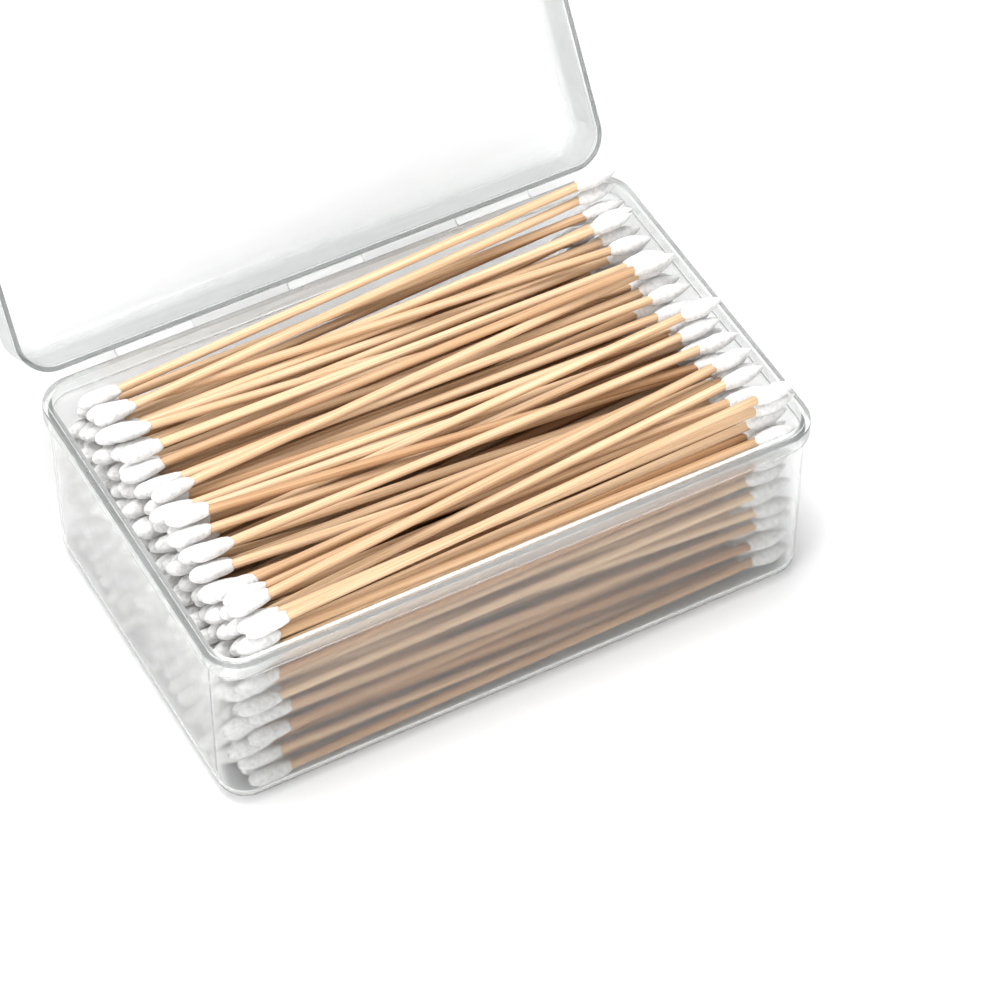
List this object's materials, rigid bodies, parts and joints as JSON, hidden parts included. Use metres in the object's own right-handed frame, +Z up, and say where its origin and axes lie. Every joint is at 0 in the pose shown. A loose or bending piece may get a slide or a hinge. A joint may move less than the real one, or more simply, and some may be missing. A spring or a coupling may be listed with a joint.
{
  "type": "cotton swab box",
  "caption": "Clear hinged plastic box standing open, filled with long wooden cotton swabs that have a round bud at one end and a pointed bud at the other",
  "frame": {"origin": "middle of the tray's footprint, on the underside", "axes": "+X along the swabs, from the round buds to the pointed buds; +Y from the front to the hinged back edge; +Z up"},
  "size_m": [0.162, 0.172, 0.1408],
  "materials": {
    "clear_plastic": "clear polypropylene, slightly milky, glossy with faint flow marks",
    "hinge_film": "thin clear polypropylene, whitened a little where it bends",
    "stick_wood": "light birch, unfinished, fine straight grain along the stick",
    "cotton": "white cotton fibre wound round the stick, matt with fine fuzz"
  },
  "bodies": {
    "box": {"hinge_web_1": "hinge_film", "hinge_web_2": "hinge_film", "hinge_web_3": "hinge_film", "pointed_cotton_buds_01": "cotton", "pointed_cotton_buds_02": "cotton", "pointed_cotton_buds_03": "cotton", "pointed_cotton_buds_04": "cotton", "pointed_cotton_buds_05": "cotton", "pointed_cotton_buds_06": "cotton", "pointed_cotton_buds_07": "cotton", "pointed_cotton_buds_08": "cotton", "pointed_cotton_buds_09": "cotton", "pointed_cotton_buds_10": "cotton", "pointed_cotton_buds_11": "cotton", "pointed_cotton_buds_12": "cotton", "round_cotton_buds_01": "cotton", "round_cotton_buds_02": "cotton", "round_cotton_buds_03": "cotton", "round_cotton_buds_04": "cotton", "round_cotton_buds_05": "cotton", "round_cotton_buds_06": "cotton", "round_cotton_buds_07": "cotton", "round_cotton_buds_08": "cotton", "round_cotton_buds_09": "cotton", "round_cotton_buds_10": "cotton", "round_cotton_buds_11": "cotton", "round_cotton_buds_12": "cotton", "swab_sticks_01": "stick_wood", "swab_sticks_02": "stick_wood", "swab_sticks_03": "stick_wood", "swab_sticks_04": "stick_wood", "swab_sticks_05": "stick_wood", "swab_sticks_06": "stick_wood", "swab_sticks_07": "stick_wood", "swab_sticks_08": "stick_wood", "swab_sticks_09": "stick_wood", "swab_sticks_10": "stick_wood", "swab_sticks_11": "stick_wood", "swab_sticks_12": "stick_wood", "tray": "clear_plastic"},
    "lid": {"lid": "clear_plastic"}
  },
  "joints": [
    {"name": "lid_hinge", "type": "hinge", "parent": "box", "child": "lid", "pos_m": [0, 0.0526, 0.0525], "axis": [1, 0, 0], "range_deg": [-58, 122], "deforming": ["hinge_web_1", "hinge_web_2", "hinge_web_3"]}
  ]
}
